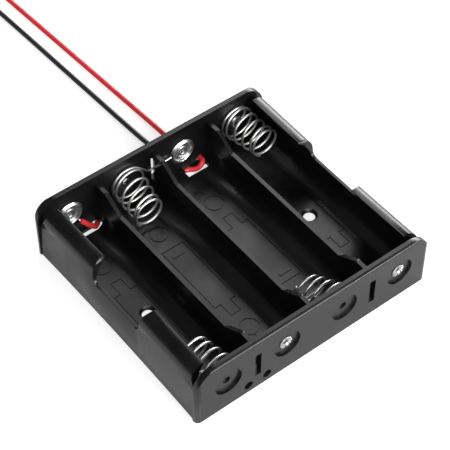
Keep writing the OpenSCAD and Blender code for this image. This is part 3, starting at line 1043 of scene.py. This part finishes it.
@dataclass
class Studio:
    """Camera, pale floor, lamps and world.

    Attributes:
        azimuth: Azimuth of the camera about +Z, from -Y, in degrees.
        elevation: Height angle of the camera in degrees.
        camera_at: Place of the camera in metres.
        lens: Focal length in millimetres, for a sensor 36 mm wide.
        floor_white: Grey value of the floor.
        floor_lift: Light that the floor adds where the camera sees it.
        mirror_lift: Light that it adds where gloss or glass shows it.
        floor_half: Half the side of the floor in metres.
        surround: Strength of the world, except to the camera.
        lamps: The softboxes.
    """

    azimuth: float = -37.915
    elevation: float = 49.537
    camera_at: Point = (-0.176984, -0.225111, 0.352622)
    lens: float = 128.909
    floor_white: float = 0.74
    floor_lift: float = 0.58
    mirror_lift: float = 0.2
    floor_half: float = 1.6
    surround: float = 0.12
    lamps: tuple[Softbox, ...] = (
        Softbox("high_softbox", (0.55, 0.50, 0.72), (0.0, 0.0, 0.0), (0.5, 0.5), 2.1),
        Softbox("front_softbox", (0.35, -0.9, 0.35), (0.0, 0.0, 0.0), (0.9, 0.28), 11.0),
        Softbox("fill_softbox", (-0.30, -0.75, 0.80), (0.0, 0.0, 0.0), (1.4, 0.8), 11.0),
        Softbox("side_softbox", (0.9, 0.55, 0.25), (0.0, 0.0, 0.0), (0.7, 0.4), 8.0),
    )

    def camera(self) -> bpy.types.Object:
        """Makes the camera and sets it as the scene's.

        Returns:
            The camera.
        """
        az, el = math.radians(self.azimuth), math.radians(self.elevation)
        back = Vector((math.sin(az) * math.cos(el), -math.cos(az) * math.cos(el), math.sin(el)))
        right = Vector((math.cos(az), math.sin(az), 0.0))
        up = back.cross(right)
        data = bpy.data.cameras.new("view")
        data.sensor_fit = "HORIZONTAL"
        data.sensor_width = 36.0
        data.lens = self.lens
        data.clip_start, data.clip_end = 0.01, 20.0
        cam = bpy.data.objects.new("view", data)
        turn = Matrix((right, up, back)).transposed()
        cam.matrix_world = Matrix.Translation(self.camera_at) @ turn.to_4x4()
        bpy.context.scene.collection.objects.link(cam)
        bpy.context.scene.camera = cam
        return cam

    def floor(self) -> bpy.types.Object:
        """Makes the pale floor, which looks white to the camera and keeps the shadow.

        Returns:
            The floor.
        """
        s, z = self.floor_half, -0.1 * MM
        floor = new_object("floor", [(-s, -s, z), (s, -s, z), (s, s, z), (-s, s, z)], [(0, 1, 2, 3)])
        mat = bpy.data.materials.new("pale_floor")
        mat.use_nodes = True
        t = mat.node_tree
        shader = t.nodes["Principled BSDF"]
        shader.inputs["Base Color"].default_value = (self.floor_white, self.floor_white, self.floor_white, 1)
        shader.inputs["Roughness"].default_value = 0.9
        shader.inputs["Specular IOR Level"].default_value = 0.1
        path = t.nodes.new("ShaderNodeLightPath")
        mirrored = t.nodes.new("ShaderNodeMath")
        mirrored.operation = "MAXIMUM"
        t.links.new(path.outputs["Is Glossy Ray"], mirrored.inputs[0])
        t.links.new(path.outputs["Is Transmission Ray"], mirrored.inputs[1])
        soft = t.nodes.new("ShaderNodeMath")
        soft.operation = "MULTIPLY"
        soft.inputs[1].default_value = self.mirror_lift
        t.links.new(mirrored.outputs["Value"], soft.inputs[0])
        lift = t.nodes.new("ShaderNodeMath")
        lift.operation = "MULTIPLY_ADD"
        lift.inputs[1].default_value = self.floor_lift
        t.links.new(path.outputs["Is Camera Ray"], lift.inputs[0])
        t.links.new(soft.outputs["Value"], lift.inputs[2])
        shader.inputs["Emission Color"].default_value = (1, 1, 1, 1)
        t.links.new(lift.outputs["Value"], shader.inputs["Emission Strength"])
        floor.data.materials.append(mat)
        return floor

    def world(self) -> None:
        """Makes the soft even surround, which is white to the camera."""
        world = bpy.data.worlds.new("surround")
        world.use_nodes = True
        t = world.node_tree
        bg = t.nodes["Background"]
        bg.inputs["Color"].default_value = (1, 1, 1, 1)
        path = t.nodes.new("ShaderNodeLightPath")
        mix = t.nodes.new("ShaderNodeMapRange")
        mix.inputs["To Min"].default_value = self.surround
        mix.inputs["To Max"].default_value = 1.0
        t.links.new(path.outputs["Is Camera Ray"], mix.inputs["Value"])
        t.links.new(mix.outputs["Result"], bg.inputs["Strength"])
        bpy.context.scene.world = world

    def build(self) -> None:
        """Makes everything of the studio but the camera."""
        self.floor()
        for lamp in self.lamps:
            lamp.build()
        self.world()
        bpy.context.scene.view_settings.view_transform = "Standard"


# ---------------------------------------------------------------- the whole


RED_ROUTE: tuple[Point, ...] = (
    (0, 0, 2.9), (-0.15, 1.6, 2.75), (-0.45, 3.8, 2.05), (-0.8, 6.4, 1.25),
    (-1.2, 9.6, 0.85), (-1.5, 13.6, 0.82), (-1.8, 20, 0.82), (-2.4, 32, 0.82),
    (-3, 44, 0.82), (-3.6, 56, 0.82), (-4.2, 68, 0.82), (-4.8, 80, 0.82),
    (-5.4, 92, 0.82), (-5.9, 104, 0.82), (-6.3, 116, 0.82), (-6.6, 128, 0.82),
    (-6.8, 138, 0.82), (-6.9, 149.3, 0.82),
)
BLACK_ROUTE: tuple[Point, ...] = (
    (-1.35, 1.1, 10.35), (-3.15, 1.3, 10.2), (-6.15, 1.7, 9.6),
    (-9.25, 2.2, 8.6), (-12.15, 3, 7.2), (-14.95, 4.3, 5.5), (-17.35, 6.3, 3.7),
    (-19.15, 9, 2), (-20.25, 12, 1.05), (-20.75, 15, 0.82), (-21.25, 24, 0.82),
    (-21.75, 36, 0.82), (-22.25, 48, 0.82), (-22.75, 60, 0.82), (-23.25, 73, 0.82),
    (-23.85, 86, 0.82), (-24.35, 98, 0.82), (-24.75, 110, 0.82), (-25.05, 122, 0.82),
    (-25.25, 132.6, 0.82),
)


def placed(route: Sequence[Point], x0: float, y0: float) -> list[Point]:
    """Moves a route to where it starts from.

    Args:
        route: Points from the route's own start, in millimetres.
        x0: X of the start.
        y0: Y of the start.

    Returns:
        The points in the row frame.
    """
    return [(x + x0, y + y0, z) for x, y, z in route]


def main() -> None:
    """Builds the holder's visible pieces in order."""
    logging.basicConfig(level=logging.INFO, format="%(name)s: %(message)s")
    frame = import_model()
    studio = Studio()
    studio.camera()
    red = placed(RED_ROUTE, SIZES.pitch - SIZES.lead_hole_dx, SIZES.outer_half)
    black = placed(BLACK_ROUTE, SIZES.bay_x(3), SIZES.outer_half)
    Lead("red_lead", red, RED_SLEEVE, "red_insulation").build()
    Lead("black_lead", black, BLACK_SLEEVE, "black_insulation").build()

    Tray().build(frame)
    springs = (
        CoilSpring(1, PlateFrame(0, End.FRONT), lean=(-1.6, -0.6)),
        CoilSpring(2, PlateFrame(1, End.REAR), lean=(-0.5, -2.8)),
        CoilSpring(3, PlateFrame(2, End.FRONT), lean=(-2.0, 3.8)),
        CoilSpring(4, PlateFrame(3, End.REAR), lean=(2.2, -1.3), start=66.0, linked=False),
    )
    for spring in springs:
        spring.build()
    for number, (bay, end) in enumerate(((0, End.REAR), (1, End.FRONT), (2, End.REAR), (3, End.FRONT)), 1):
        PressedContact(number, PlateFrame(bay, end)).build()
        RolledEyelet(f"eyelet_{number}", PlateFrame(bay, end), 0.25).build()
    RolledEyelet("eyelet_negative", PlateFrame(3, End.REAR), 0.81).build()
    InnerRun().build()
    SolderJoint(PlateFrame(3, End.REAR)).build()
    studio.build()

    log.info("boxes written")


if __name__ == "__main__":
    main()
